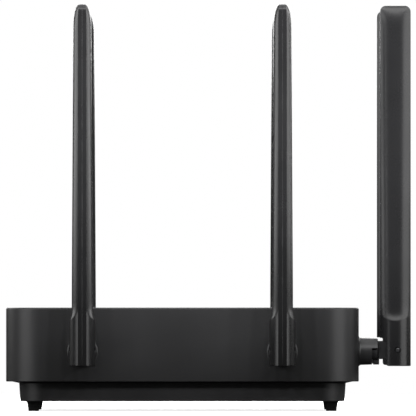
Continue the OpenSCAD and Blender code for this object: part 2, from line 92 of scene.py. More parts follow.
CASE_HALF_W = joint_place("right_front_swivel_hinge").x
REAR_Y = joint_place("rear_right_swivel_hinge").y
FRONT_Y = low("top_cover").y
MID_Y = (FRONT_Y + REAR_Y) / 2
CASE_HALF_D = (REAR_Y - FRONT_Y) / 2
AXIS_Z = joint_place("right_front_swivel_hinge").z
SKIRT_Z = low("top_cover").z
TOP_Z = high("top_cover").z
FLOOR_Z = low("base_tray").z
TRAY_TOP = high("base_tray").z
BOARD_TOP = high("mainboard").z
BUTTON_Z = centre("mesh_button").z
JACK_FACE = high("wan_port").y
# The antennas' sizes are measured from the wall and from the barrel's axis
TIP = high("right_front_shell_left").z - AXIS_Z
BLOCK_BOTTOM = low("right_front_shell_left").z - AXIS_Z
BLADE_IN = low("right_front_shell_left").x - CASE_HALF_W
BLADE_OUT = high("right_front_shell_left").x - CASE_HALF_W
BLADE_HALF_W = (BLADE_OUT - BLADE_IN) / 2
BLADE_MID = (BLADE_OUT + BLADE_IN) / 2
PIN = joint_place("right_front_tilt_hinge") - joint_place("right_front_swivel_hinge")

# ---------- sizes of the visible shapes ----------

ANTENNAS = ("right_front", "right_rear", "left_front", "left_rear", "rear_right", "rear_left")
NETWORK_PORTS = ("wan_port", "lan_port_1", "lan_port_2", "lan_port_3")
FEET = ("foot_front_left", "foot_front_right", "foot_rear_left", "foot_rear_right")
CORNERS = ((-1, -1), (-1, 1), (1, -1), (1, 1))

# Case
CASE_R = 17.0
WALL = 2.2
ROOF = 2.4
TOP_EDGE = 0.8
CHAMFER = 0.3
PLINTH_INSET = 5.95
PLINTH_TAPER = 0.5
PLINTH_GAP = 0.6
TRAY_GAP = 0.2
TRAY_WALL = 2.4
TRAY_FLOOR = 2.0
POST_R = 3.6
STUD_X, STUD_Y, STUD_DROP = 72.0, 58.0, 1.6
SCREW_X, SCREW_Y = 95.0, 66.0
SCREW_HOLE_R, SCREW_WELL_R, SCREW_WELL_D = 1.6, 2.8, 2.5
SCREW_HEAD_R, SCREW_SHANK_R, SCREW_CROSS_L, SCREW_CROSS_W = 2.5, 1.15, 2.7, 0.56
VENT_ROWS, VENT_STEP, VENT_GAP, VENT_LEN, VENT_X = 15, 6.0, 2.4, 56.0, 62.0
FLOOR_SLOTS, FLOOR_LEN, FLOOR_X, FLOOR_Y = 8, 36.0, 50.0, 36.0
LAMP_X, LAMP_W, LAMP_D = 9.0, 8.2, 1.7
PLATE_W, PLATE_D, PLATE_R = 54.0, 34.0, 2.0
FOOT_HALF_W, FOOT_HALF_D, FOOT_SOLE = 8.5, 2.38, 0.35
FOOT_DRAFT_W, FOOT_DRAFT_D = 0.35, 0.5
FOOT_ROOT_R, FOOT_CORNER_R = 1.1, 0.9

# Boss and barrel
BOSS_R, BOSS_LEN, BOSS_FILLET = 6.0, 6.0, 1.1
COLLAR_LEN, COLLAR_EDGE_Z = 8.7, 1.5
RUNNING_GAP, FREE_GAP = 0.05, 0.3
BARREL_R, BARREL_START = 4.0, -5.2
BARB_R, BARB_X, BARB_LEN = 4.6, -3.9, 1.4
NECK_R, NECK_X = 2.4, 9.2
BORE_R = 1.3
SLIT_W, SLIT_START, SLIT_END = 1.2, -6.0, -0.5
LUG_START, LUG_END, LUG_W = 6.5, 9.3, 2.3
LEAD_SLOT_START, LEAD_SLOT_END = 10.6, 13.4
TONGUE_R, TONGUE_T, TONGUE_X = 4.0, 3.8, 9.0

# Tilt pin and blade
PIN_R, PIN_INSET, RIM_R, RIM_D = 1.0, 0.55, 1.55, 0.45
EAR_GAP, EAR_R = 12.4, 1.2
NOTCH_Z, NOTCH_R = 6.1, 0.6
STRIP_HALF = 1.95
SEAM_HALF_W = 0.09
BLOCK_HALF_T = 5.9
BLADE_HALF_T = 4.75
TIP_HALF_T, TIP_LEN, TIP_CORNER = 4.08, 9.5, 2.75
PARTING = 0.012
# Height above the barrel axis, half thickness and dip of each ring from the block up to the blade
SHOULDER = ((16.6, 5.9, 3.0), (17.0, 5.82, 3.0), (17.4, 5.66, 2.9), (18.2, 5.35, 2.7), (19.0, 5.06, 2.4),
            (19.7, 4.90, 2.0), (20.4, 4.82, 1.6), (21.4, 4.77, 1.0), (22.6, 4.75, 0.4))

# Sockets and buttons
SOCKET_GAP, SOCKET_R = 0.2, 0.6
MOUTH_W, MOUTH_D, MOUTH_H, MOUTH_Z = 11.9, 12.6, 7.2, 4.6
LATCH_W, LATCH_H = 6.4, 2.4
CONTACTS, CONTACT_PITCH, CONTACT_W, CONTACT_T = 8, 1.02, 0.4, 0.35
CONTACT_ROOT, CONTACT_BEND, CONTACT_RUN, CONTACT_SLOPE = 3.0, 5.0, 7.5, 14.0
DC_WELL_R, DC_WELL_D, DC_PIN_R, DC_ROOT_END = 3.15, 9.5, 1.0, 8.9
MESH_HOLE_R, MESH_R, MESH_FLANGE_R, MESH_STEM_R = 3.2, 2.9, 4.1, 1.2
RESET_HOLE_R, RESET_R, RESET_STEM_R = 0.8, 1.6, 0.9
STEM_GAP = 1.5

# ---------- mesh helpers ----------


def cosd(degrees):
    return math.cos(math.radians(degrees))


def sind(degrees):
    return math.sin(math.radians(degrees))


def arc(cx, cy, r, a0, a1, n):
    """Points along an arc, both ends included; angles in degrees."""
    steps = [a0 + (a1 - a0) * k / n for k in range(n + 1)]
    return [(cx + r * cosd(a), cy + r * sind(a)) for a in steps]


def rounded_rect(half_w, half_d, r, n):
    """Counter-clockwise outline with round corners."""
    r = max(r, 0.01)
    x, y = half_w - r, half_d - r
    middles = ((x, y), (-x, y), (-x, -y), (x, -y))
    return [p for k, (cx, cy) in enumerate(middles) for p in arc(cx, cy, r, 90 * k, 90 * k + 90, n)]


def circle(r, n=48):
    return arc(0, 0, r, 0, 360 - 360 / n, n - 1)


def ring_at(outline, z, cx=0.0, cy=0.0):
    return [Vector((x + cx, y + cy, z)) for x, y in outline]


def loft(bm, rings):
    """Skins rings of equal count and caps both ends; counter-clockwise rings going up face outwards."""
    loops = [[bm.verts.new(p) for p in ring] for ring in rings]
    count = len(loops[0])
    for a, b in zip(loops, loops[1:]):
        for k in range(count):
            j = (k + 1) % count
            bm.faces.new((a[k], a[j], b[j], b[k]))
    bm.faces.new(list(reversed(loops[0])))
    bm.faces.new(loops[-1])


def rect_levels(half_w, half_d, r, levels, cx, cy, n):
    """Rings of one rounded rectangle set in by each level's first number at the height of its second."""
    return [ring_at(rounded_rect(half_w - i, half_d - i, r - i, n), z, cx, cy) for i, z in levels]


def case_levels(levels):
    return rect_levels(CASE_HALF_W, CASE_HALF_D, CASE_R, levels, 0, MID_Y, 28)


def circle_levels(levels, n):
    return [ring_at(circle(r, n), z) for r, z in levels]


# Turns that lay a shape lofted along +Z along +X, or along +Y
ALONG_X = Matrix(((0, 0, 1, 0), (1, 0, 0, 0), (0, 1, 0, 0), (0, 0, 0, 1)))
ALONG_Y = Matrix(((1, 0, 0, 0), (0, 0, 1, 0), (0, -1, 0, 0), (0, 0, 0, 1)))


def solid(rings, turn=None, shift=(0, 0, 0)):
    """A closed loft, turned and moved into place."""
    bm = bmesh.new()
    loft(bm, rings)
    if turn is not None:
        bm.transform(turn)
    bm.transform(Matrix.Translation(Vector(shift)))
    return bm


def facing_out(rings):
    """A closed loft whose rings may run either way round."""
    bm = bmesh.new()
    loft(bm, rings)
    bmesh.ops.recalc_face_normals(bm, faces=bm.faces)
    return bm


def prism_y(outline, y0, y1):
    """A closed prism along Y from an outline in X and Z."""
    return facing_out([[Vector((x, y, z)) for x, z in outline] for y in (y1, y0)])


def join(parts):
    """One bmesh from several, which are freed."""
    whole = bmesh.new()
    for part in parts:
        mesh = bpy.data.meshes.new("join")
        part.to_mesh(mesh)
        part.free()
        whole.from_mesh(mesh)
        bpy.data.meshes.remove(mesh)
    return whole


def boolean(bm, tool, operation):
    """The bmesh cut by, or joined with, a closed tool; both are freed."""
    objects = []
    for part in (bm, tool):
        mesh = bpy.data.meshes.new("boolean")
        part.to_mesh(mesh)
        part.free()
        obj = bpy.data.objects.new("boolean", mesh)
        bpy.context.scene.collection.objects.link(obj)
        objects.append(obj)
    body, cutter = objects
    step = body.modifiers.new("step", "BOOLEAN")
    step.operation = operation
    step.solver = "EXACT"
    step.object = cutter
    bpy.context.view_layer.update()
    evaluated = body.evaluated_get(bpy.context.evaluated_depsgraph_get())
    result = bpy.data.meshes.new_from_object(evaluated)
    out = bmesh.new()
    out.from_mesh(result)
    bpy.data.meshes.remove(result)
    for obj in objects:
        mesh = obj.data
        bpy.data.objects.remove(obj)
        bpy.data.meshes.remove(mesh)
    bmesh.ops.remove_doubles(out, verts=out.verts, dist=0.0005)
    bmesh.ops.dissolve_degenerate(out, dist=0.0005, edges=out.edges)
    return out


def cut(bm, *tools):
    for tool in tools:
        bm = boolean(bm, tool, "DIFFERENCE")
    return bm


def fuse(bm, *tools):
    for tool in tools:
        bm = boolean(bm, tool, "UNION")
    return bm


def rear_solid(outline_of, levels, x, z):
    """A solid along the rear wall's normal. Levels are (what outline_of takes, y), from inside to outside."""
    return solid([ring_at(outline_of(size), y) for size, y in levels], ALONG_Y, (x, 0, z))


def rear_cutter(outline_of, face, depth, flare, x, z):
    """A hole that goes in from a face on the rear side and widens at it. outline_of takes an inset."""
    levels = [(0, face - depth), (0, face - flare), (-flare, face), (-flare, face + 1)]
    return rear_solid(outline_of, levels, x, z)


def roof_cutter(half_w, half_d, r, flare, x, y, n):
    """A hole through the roof that widens at the outer face."""
    levels = [(0, TOP_Z - ROOF - 1), (0, TOP_Z - flare), (-flare, TOP_Z), (-flare, TOP_Z + 1)]
    return solid(rect_levels(half_w, half_d, r, levels, x, y, n))


def turn_to(name):
    """Matrix from an antenna's own frame, +X away from the wall, to its place on the case."""
    place = joint_place(name + "_swivel_hinge")
    out = joint_place(name + "_tilt_hinge") - place
    return Matrix.Translation(place) @ Matrix.Rotation(math.atan2(out.y, out.x), 4, "Z")


def at_all_seats(build):
    """One bmesh with a copy of a shape at each antenna's seat."""
    parts = []
    for name in ANTENNAS:
        bm = build()
        bm.transform(turn_to(name))
        parts.append(bm)
    return join(parts)


# ---------- materials ----------


class Nodes:
    """Short way to add and link shader nodes."""

    def __init__(self, name):
        self.material = bpy.data.materials.new(name)
        self.material.use_nodes = True
        self.tree = self.material.node_tree
        self.shader = self.tree.nodes["Principled BSDF"]
        self.place = self.add("ShaderNodeTexCoord").outputs["Object"]

    def add(self, kind, **settings):
        node = self.tree.nodes.new(kind)
        for key, value in settings.items():
            setattr(node, key, value)
        return node

    def link(self, source, target):
        self.tree.links.new(source, target)

    def feed(self, value, socket):
        """Sets a socket to a constant, or links an output to it."""
        if isinstance(value, tuple):
            socket.default_value = (*value, 1.0)
        elif isinstance(value, (int, float)):
            socket.default_value = value
        else:
            self.link(value, socket)

    def texture(self, kind, size_mm, stretch=(1, 1, 1)):
        """A texture node whose pattern is about as large as size_mm."""
        scale = self.add("ShaderNodeMapping")
        scale.inputs["Scale"].default_value = [s / (size_mm * MM) for s in stretch]
        self.link(self.place, scale.inputs["Vector"])
        node = self.add(kind)
        node.inputs["Scale"].default_value = 1.0
        self.link(scale.outputs["Vector"], node.inputs["Vector"])
        return node

    def noise(self, size_mm, detail, roughness=0.5, stretch=(1, 1, 1)):
        node = self.texture("ShaderNodeTexNoise", size_mm, stretch)
        node.inputs["Detail"].default_value = detail
        node.inputs["Roughness"].default_value = roughness
        return node.outputs["Fac"]

    def cells(self, size_mm):
        return self.texture("ShaderNodeTexVoronoi", size_mm).outputs["Distance"]

    def ramp(self, source, lo, hi, out_lo=0.0, out_hi=1.0):
        node = self.add("ShaderNodeMapRange")
        for key, value in (("From Min", lo), ("From Max", hi), ("To Min", out_lo), ("To Max", out_hi)):
            node.inputs[key].default_value = value
        self.link(source, node.inputs["Value"])
        return node.outputs["Result"]

    def math(self, operation, a, b):
        node = self.add("ShaderNodeMath", operation=operation)
        self.feed(a, node.inputs[0])
        self.feed(b, node.inputs[1])
        return node.outputs["Value"]

    def mix(self, factor, a, b):
        node = self.add("ShaderNodeMix", data_type="RGBA")
        self.link(factor, node.inputs["Factor"])
        self.feed(a, node.inputs[6])
        self.feed(b, node.inputs[7])
        return node.outputs[2]

    def bump(self, height, depth_mm):
        node = self.add("ShaderNodeBump")
        node.inputs["Strength"].default_value = 1.0
        node.inputs["Distance"].default_value = depth_mm * MM
        self.link(height, node.inputs["Height"])
        return node.outputs["Normal"]

    def edge_wear(self):
        """1 along edges, where a rounded normal leaves the surface's own, and 0 on open faces."""
        rounded = self.add("ShaderNodeBevel", samples=4)
        rounded.inputs["Radius"].default_value = 0.6 * MM
        facing = self.add("ShaderNodeVectorMath", operation="DOT_PRODUCT")
        self.link(rounded.outputs["Normal"], facing.inputs[0])
        self.link(self.add("ShaderNodeNewGeometry").outputs["Normal"], facing.inputs[1])
        return self.ramp(facing.outputs["Value"], 0.98, 0.86)

    def set(self, **values):
        """Feeds the shader; an underscore in a name stands for a space."""
        for key, value in values.items():
            self.feed(value, self.shader.inputs[key.replace("_", " ")])


def moulded_plastic(name, color, roughness, grain_mm, grain_depth, spread=0.25, wear=1.6):
    """Textured injection moulding: spark-eroded grain, slow tone changes, rubbed edges."""
    n = Nodes(name)
    tone = n.noise(28, 2)
    dark = tuple(c * (1 - spread / 2) for c in color)
    light = tuple(c * (1 + spread / 2) for c in color)
    base = n.mix(n.ramp(tone, 0.3, 0.7), dark, light)
    rubbed = n.math("MULTIPLY", n.edge_wear(), n.ramp(n.noise(6, 4), 0.4, 0.65))
    base = n.mix(rubbed, base, tuple(min(1, c * wear + 0.004) for c in color))
    grain = n.noise(grain_mm, 2, 0.6)
    pits = n.cells(grain_mm * 2.2)
    height = n.math("ADD", grain, n.math("MULTIPLY", pits, 0.5))
    smear = n.ramp(n.noise(45, 3), 0.35, 0.65, -0.035, 0.035)
    rough = n.math("ADD", n.math("ADD", smear, roughness - 0.03), n.math("MULTIPLY", grain, 0.06))
    n.set(Base_Color=base, Roughness=rough, Normal=n.bump(height, grain_depth))
    return n


def plain_metal(name, color, roughness, grain_mm=0.6, stretch=(1, 1, 1), depth=0.004):
    """Metal with fine drawn or cast grain and a little tarnish."""
    n = Nodes(name)
    grain = n.noise(grain_mm, 4, 0.6, stretch)
    tarnish = n.noise(7, 3)
    base = n.mix(n.ramp(tarnish, 0.35, 0.7), color, tuple(c * 0.72 for c in color))
    rough = n.math("ADD", n.ramp(grain, 0.3, 0.7, -0.07, 0.07), roughness)
    n.set(Base_Color=base, Roughness=rough, Metallic=1.0, Normal=n.bump(grain, depth))
    return n


def circuit_board_material():
    """Green solder mask over raised copper traces, with bare pads."""
    n = Nodes("solder_mask")
    lanes = n.texture("ShaderNodeTexBrick", 3.2)
    lanes.offset = 0.37
    lanes.inputs["Mortar Size"].default_value = 0.035
    trace = n.ramp(lanes.outputs["Fac"], 0.2, 0.8)
    blotch = n.noise(9, 3)
    mask = n.mix(n.ramp(blotch, 0.3, 0.7), (0.006, 0.070, 0.035), (0.010, 0.095, 0.045))
    mask = n.mix(trace, mask, (0.020, 0.160, 0.070))
    vias = n.ramp(n.cells(2.6), 0.10, 0.13, 1.0, 0.0)
    n.set(Base_Color=n.mix(vias, mask, (0.75, 0.52, 0.20)), Metallic=vias)
    n.set(Roughness=n.ramp(blotch, 0.2, 0.8, 0.22, 0.36), Normal=n.bump(trace, 0.03))
    return n


def rubber_material():
    """Black rubber with dust in its pores."""
    n = Nodes("foot_rubber")
    dust = n.ramp(n.noise(2.5, 5), 0.5, 0.75)
    n.set(Base_Color=n.mix(dust, (0.012, 0.012, 0.012), (0.030, 0.029, 0.028)))
    n.set(Roughness=n.ramp(dust, 0, 1, 0.62, 0.8), Normal=n.bump(n.noise(0.5, 3), 0.02))
    return n


def pipe_material():
    """Hazy clear plastic."""
    n = Nodes("light_pipe")
    haze = n.noise(1.2, 3)
    n.set(Base_Color=n.mix(haze, (0.80, 0.84, 0.88), (0.92, 0.94, 0.96)))
    n.set(Roughness=n.ramp(haze, 0.3, 0.7, 0.18, 0.4), Normal=n.bump(haze, 0.02))
    n.set(Transmission_Weight=0.55, IOR=1.5)
    return n


def pad_material():
    """Soft blue thermal pad."""
    n = Nodes("gap_pad")
    fibre = n.noise(0.8, 4)
    n.set(Base_Color=n.mix(fibre, (0.24, 0.36, 0.50), (0.42, 0.56, 0.70)))
    n.set(Roughness=n.ramp(fibre, 0, 1, 0.6, 0.85), Normal=n.bump(fibre, 0.05))
    return n


def plate_material():
    """Blank brushed film."""
    n = Nodes("plate_film")
    brushed = n.noise(0.4, 2, 0.5, (0.04, 1, 1))
    n.set(Base_Color=n.mix(brushed, (0.33, 0.33, 0.34), (0.46, 0.46, 0.47)))
    n.set(Roughness=n.ramp(brushed, 0, 1, 0.36, 0.55), Normal=n.bump(brushed, 0.004))
    return n


# Moulded plastics by material slot: colour, roughness, grain size, grain depth, colour spread and edge wear
PLASTICS = {
    "cover_plastic": ((0.0080, 0.0080, 0.0083), 0.40, 0.32, 0.008),
    "tray_plastic": ((0.0100, 0.0100, 0.0104), 0.42, 0.5, 0.008),
    "antenna_plastic": ((0.0038, 0.0038, 0.0040), 0.28, 0.28, 0.003),
    "knuckle_plastic": ((0.0080, 0.0080, 0.0083), 0.36, 0.28, 0.005),
    "jack_plastic": ((0.016, 0.016, 0.017), 0.34, 0.4, 0.006),
    "wan_plastic": ((0.012, 0.060, 0.280), 0.34, 0.4, 0.006, 0.12, 1.2),
    "button_plastic": ((0.030, 0.030, 0.032), 0.36, 0.4, 0.005),
    "chip_resin": ((0.020, 0.020, 0.020), 0.5, 0.2, 0.012),
    "component_body": ((0.060, 0.058, 0.056), 0.45, 0.3, 0.01, 0.8),
    "lead_jacket": ((0.020, 0.020, 0.021), 0.38, 0.5, 0.004),
    "led_resin": ((0.80, 0.72, 0.40), 0.25, 0.6, 0.002, 0.1, 1.0),
}
# Metals by material slot: colour, roughness, grain size, grain stretch and grain depth
METALS = {
    "gold_contact": ((0.90, 0.66, 0.26), 0.24),
    "plated_pin": ((0.78, 0.77, 0.74), 0.16),
    "pin_steel": ((0.20, 0.20, 0.21), 0.36),
    "screw_steel": ((0.50, 0.50, 0.52), 0.30),
    "cast_sink": ((0.70, 0.71, 0.73), 0.42, 0.5, (1, 1, 1), 0.02),
    "tinned_can": ((0.66, 0.67, 0.69), 0.30, 0.4, (0.1, 1, 1)),
}


def build_materials():
    made = {slot: moulded_plastic(slot, *look) for slot, look in PLASTICS.items()}
    made.update({slot: plain_metal(slot, *look) for slot, look in METALS.items()})
    made["circuit_board"] = circuit_board_material()
    made["foot_rubber"] = rubber_material()
    made["clear_pipe"] = pipe_material()
    made["gap_pad"] = pad_material()
    made["plate_film"] = plate_material()
    return {slot: nodes.material for slot, nodes in made.items()}


MATERIALS = build_materials()
SLOT_OF = {s["node"]: s["material_slot"] for s in frame["record"]["subparts"]}
BODY_OF = {node: body for body, members in frame["record"]["behaviour"]["bodies"].items() for node in members}


def piece(name, bm, nodes, place=None, sharp=32.0):
    """Finishes a bmesh as a piece in metres that stands for CAD nodes of one body and one material slot."""
    body, slot = BODY_OF[nodes[0]], SLOT_OF[nodes[0]]
    if place is not None:
        bm.transform(place)
    bm.transform(Matrix.Scale(MM, 4))
    for face in bm.faces:
        face.smooth = True
    bm.normal_update()
    for edge in bm.edges:
        edge.smooth = len(edge.link_faces) == 2 and edge.calc_face_angle(0) < math.radians(sharp)
    mesh = bpy.data.meshes.new(name)
    bm.to_mesh(mesh)
    bm.free()
    mesh.materials.append(MATERIALS[slot])
    obj = bpy.data.objects.new(name, mesh)
    bpy.context.scene.collection.objects.link(obj)
    even = obj.modifiers.new("even_normals", "WEIGHTED_NORMAL")
    even.keep_sharp = True
    even.weight = 50
    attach(obj, body)
    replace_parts(obj, *nodes)


# ---------- case ----------


def boss():
    """Moulded boss with its root fillet and the half collar that shelters the barrel."""
    levels = [(BOSS_R + BOSS_FILLET + 0.15, -0.8)]
    levels += [(BOSS_R + 0.15 + BOSS_FILLET * (1 - sind(a)), BOSS_FILLET * (1 - cosd(a)))
               for a in (0, 25, 50, 70, 90)]
    levels += [(BOSS_R - inset, COLLAR_LEN - back) for inset, back in ((0.1, 0.35), (0.2, 0.1), (0.45, 0))]
    bm = solid(circle_levels(levels, 72), ALONG_X)
    # A block that takes away all of the collar below COLLAR_EDGE_Z
    half, span = 10, [(0, BOSS_LEN), (0, COLLAR_LEN + 1)]
    under = solid(rect_levels(half, half, 0.2, span, 0, COLLAR_EDGE_Z - half, 2), ALONG_X)
    return cut(bm, under)


def bore_tool():
    """Bore of a boss, a little wider under the collar."""
    snug, wide = BARREL_R + RUNNING_GAP, BARREL_R + FREE_GAP + 0.1
    levels = [(snug, -WALL - 2), (snug, BOSS_LEN), (wide, BOSS_LEN + 0.01), (wide, COLLAR_LEN + 1)]
    return solid(circle_levels(levels, 72), ALONG_X)


def build_cover():
    levels = [(WALL, TOP_Z - ROOF), (WALL, SKIRT_Z + 0.2), (WALL - 0.2, SKIRT_Z), (0.3, SKIRT_Z),
              (0.1, SKIRT_Z + 0.08), (0, SKIRT_Z + 0.3)]
    levels += [(TOP_EDGE * (1 - cosd(a)), TOP_Z - TOP_EDGE * (1 - sind(a))) for a in range(0, 91, 18)]
    cover = fuse(solid(case_levels(levels)), at_all_seats(boss))
    posts = [solid(circle_levels([(POST_R, BOARD_TOP), (POST_R, TOP_Z - ROOF + 0.5)], 32), None,
                   (sx * SCREW_X, MID_Y + sy * SCREW_Y, 0)) for sx, sy in CORNERS]
    cover = fuse(cover, join(posts))
    holes = [at_all_seats(bore_tool)] + rear_wall_holes() + roof_holes()
    piece("cover_shell", cut(cover, join(holes)), ["top_cover"])


def rear_wall_holes():
    holes = []
    for node in NETWORK_PORTS + ("dc_jack",):
        half = (high(node) - low(node)) / 2 + Vector((SOCKET_GAP,) * 3)
        holes.append(rear_cutter(lambda i: rounded_rect(half.x - i, half.z - i, SOCKET_R - i, 4),
                                 REAR_Y, WALL + 1, CHAMFER, centre(node).x, centre(node).z))
    for node, r in (("mesh_button", MESH_HOLE_R), ("reset_button", RESET_HOLE_R)):
        holes.append(rear_cutter(lambda i: circle(r - i), REAR_Y, WALL + 1, 0.25, centre(node).x, BUTTON_Z))
    return holes


def roof_holes():
    """Two fields of vent slots and the two lamp windows."""
    holes = []
    for sx in (-1, 1):
        for k in range(VENT_ROWS):
            y = MID_Y + (k - (VENT_ROWS - 1) / 2) * VENT_STEP
            holes.append(roof_cutter(VENT_LEN / 2, VENT_GAP / 2, VENT_GAP / 2, CHAMFER, sx * VENT_X, y, 6))
    for sx in (-1, 1):
        holes.append(roof_cutter(LAMP_W / 2, LAMP_D / 2, 0.3, 0.15, sx * LAMP_X, centre("light_pipe").y, 4))
    return holes


def build_tray():
    floor_top = FLOOR_Z + TRAY_FLOOR
    lip = WALL + TRAY_GAP
    plinth_top = SKIRT_Z - PLINTH_GAP
    foot, inner = PLINTH_INSET + PLINTH_TAPER, PLINTH_INSET + TRAY_WALL
    levels = [(foot + 0.4, FLOOR_Z), (foot + 0.1, FLOOR_Z + 0.1), (foot, FLOOR_Z + 0.4),
              (PLINTH_INSET, plinth_top - 0.3), (PLINTH_INSET - 0.1, plinth_top - 0.08),
              (PLINTH_INSET - 0.35, plinth_top), (lip + 0.1, SKIRT_Z + 0.05), (lip, SKIRT_Z + 0.2),
              (lip, TRAY_TOP - 0.2), (lip + 0.2, TRAY_TOP), (inner - 0.2, TRAY_TOP), (inner, TRAY_TOP - 0.2),
              (inner, floor_top + 0.5), (inner + 0.5, floor_top)]
    tray = solid(case_levels(levels))
    posts = []
    for sx, sy in CORNERS:
        for x, y, top in ((SCREW_X, SCREW_Y, BOARD_TOP - 0.1), (STUD_X, STUD_Y, BOARD_TOP - STUD_DROP)):
            levels = [(POST_R, FLOOR_Z + 1), (POST_R, top - 0.3), (POST_R - 0.3, top)]
            posts.append(solid(circle_levels(levels, 32), None, (sx * x, MID_Y + sy * y, 0)))
    tray = fuse(tray, join(posts))
    piece("tray_shell", cut(tray, join(floor_holes(floor_top))), ["base_tray"])


def floor_holes(floor_top):
    """Screw wells, four fields of slots and the rating plate's pocket."""
    holes = []
    well_top = FLOOR_Z + SCREW_WELL_D
    well = [(SCREW_WELL_R + 0.2, FLOOR_Z - 1), (SCREW_WELL_R + 0.2, FLOOR_Z), (SCREW_WELL_R, FLOOR_Z + 0.2),
            (SCREW_WELL_R, well_top - 0.01), (SCREW_HOLE_R, well_top), (SCREW_HOLE_R, TRAY_TOP + 5)]
    slot = [(-CHAMFER, FLOOR_Z - 1), (-CHAMFER, FLOOR_Z), (0, FLOOR_Z + CHAMFER), (0, floor_top + 1)]
    for sx, sy in CORNERS:
        holes.append(solid(circle_levels(well, 32), None, (sx * SCREW_X, MID_Y + sy * SCREW_Y, 0)))
        for k in range(FLOOR_SLOTS):
            y = MID_Y + sy * FLOOR_Y + (k - (FLOOR_SLOTS - 1) / 2) * VENT_STEP
            rings = rect_levels(FLOOR_LEN / 2, VENT_GAP / 2, VENT_GAP / 2, slot, sx * FLOOR_X, y, 6)
            holes.append(solid(rings))
    pocket = [(-0.2, FLOOR_Z - 1), (-0.2, FLOOR_Z), (0, FLOOR_Z + 0.2), (0, FLOOR_Z + 0.5)]
    gap = 0.3
    rings = rect_levels(PLATE_W / 2 + gap, PLATE_D / 2 + gap, PLATE_R + gap, pocket, 0, MID_Y, 6)
    holes.append(solid(rings))
    return holes


def build_plate():
    bottom, top = low("rating_plate").z, high("rating_plate").z
    levels = [(0.12, bottom), (0, bottom + 0.1), (0, top)]
    bm = solid(rect_levels(PLATE_W / 2, PLATE_D / 2, PLATE_R, levels, 0, MID_Y, 6))
    piece("rating_plate_film", bm, ["rating_plate"])


def build_feet():
    """Rubber feet: a softened sole, drafted sides and a fillet up to the tray."""
    height = high(FEET[0]).z - low(FEET[0]).z
    levels = [(FOOT_HALF_W + w, FOOT_HALF_D + d, z)
              for w, d, z in ((-0.4, -0.26, 0.0), (-0.1, -0.08, 0.12), (0, 0, FOOT_SOLE))]
    fillet_z = height - FOOT_ROOT_R
    levels += [(FOOT_HALF_W + FOOT_DRAFT_W * t, FOOT_HALF_D + FOOT_DRAFT_D * t,
                FOOT_SOLE + (fillet_z - FOOT_SOLE) * t) for t in (0.33, 0.66, 1.0)]
    for a in (20, 40, 60, 78, 88):
        out = FOOT_ROOT_R * (1 - cosd(a))
        levels.append((FOOT_HALF_W + FOOT_DRAFT_W + out, FOOT_HALF_D + FOOT_DRAFT_D + out,
                       fillet_z + FOOT_ROOT_R * sind(a)))
    for name in FEET:
        c = centre(name)
        rings = [ring_at(rounded_rect(w, d, FOOT_CORNER_R, 8), z, c.x, c.y) for w, d, z in levels]
        piece("pad_" + name, solid(rings), [name])


# ---------- antennas ----------


def blade_outline(half_t, half_w, half_strip, seam):
    """Counter-clockwise outline: two flat strips, each with a parting groove, and two arcs."""
    n = 18
    rise = half_t - half_strip
    r = (half_w ** 2 + rise ** 2) / (2 * rise)
    reach = math.degrees(math.asin(half_w / r))
    strip = [(half_w, -half_strip / 2), (half_w, -SEAM_HALF_W), (half_w - seam, 0.0), (half_w, SEAM_HALF_W),
             (half_w, half_strip / 2)]
    turns = [reach * k / n for k in range(n, -n - 1, -1)]
    arc_points = [(r * sind(a), r * cosd(a) - r + half_t) for a in turns]
    half = strip + arc_points
    return half + [(-x, -y) for x, y in half]


def tip_half_t(depth):
    """Half thickness at a depth below the tip: a pointed arch with a narrow flat top."""
    t = min(depth / TIP_LEN, 1.0)
    flat = TIP_HALF_T * 0.5
    return flat + (TIP_HALF_T - flat) * (1 - (1 - t) ** 2) ** 0.65


def tip_half_w(depth):
    """Half width at a depth below the tip: round corners."""
    d = min(depth, TIP_CORNER)
    return BLADE_HALF_W - TIP_CORNER + math.sqrt(TIP_CORNER ** 2 - (TIP_CORNER - d) ** 2)


def blade_ring(z, half_t, half_w=BLADE_HALF_W, half_strip=STRIP_HALF, dip=0.0, seam=0.07):
    """One ring of the blade; a dip lowers it in the middle of the wide faces."""
    outline = blade_outline(half_t, half_w, half_strip, seam)
    return [Vector((BLADE_MID + x, y, z - dip * (1 - (x / half_w) ** 2))) for x, y in outline]


def blade_rings():
    """Rings of the blade from the base block's underside to the tip."""
    b = BLOCK_BOTTOM
    rings = [blade_ring(b, BLOCK_HALF_T - 0.35, BLADE_HALF_W - 0.35, STRIP_HALF - 0.15, 0, 0.02),
             blade_ring(b + 0.1, BLOCK_HALF_T - 0.12, BLADE_HALF_W - 0.12, STRIP_HALF - 0.05)]
    rings += [blade_ring(z, BLOCK_HALF_T) for z in (b + 0.35, 0, 5, 9)]
    rings += [blade_ring(z, half_t, dip=dip) for z, half_t, dip in SHOULDER]
    z0, z1 = SHOULDER[-1][0] + 4, TIP - TIP_LEN
    for t in (0, 0.25, 0.5, 0.75, 1.0):
        rings.append(blade_ring(z0 + (z1 - z0) * t, BLADE_HALF_T + (TIP_HALF_T - BLADE_HALF_T) * t))
    for depth in (8.0, 6.5, 5.0, 3.8, 2.8, 2.1, 1.5, 1.0, 0.65, 0.35, 0.15, 0.04):
        half_strip = STRIP_HALF * (0.86 + 0.14 * min(depth / 6, 1))
        rings.append(blade_ring(TIP - depth, tip_half_t(depth), tip_half_w(depth), half_strip))
    rings.append(blade_ring(TIP, tip_half_t(0.04) - 0.2, tip_half_w(0.04) - 0.2, STRIP_HALF * 0.72, 0, 0.02))
    return rings


def pin_hole(gap):
    """Cutter for the tilt pin, with a gap round it."""
    return solid(circle_levels([(PIN_R + gap, -8), (PIN_R + gap, 8)], 32), ALONG_Y, (PIN.x, 0, PIN.z))


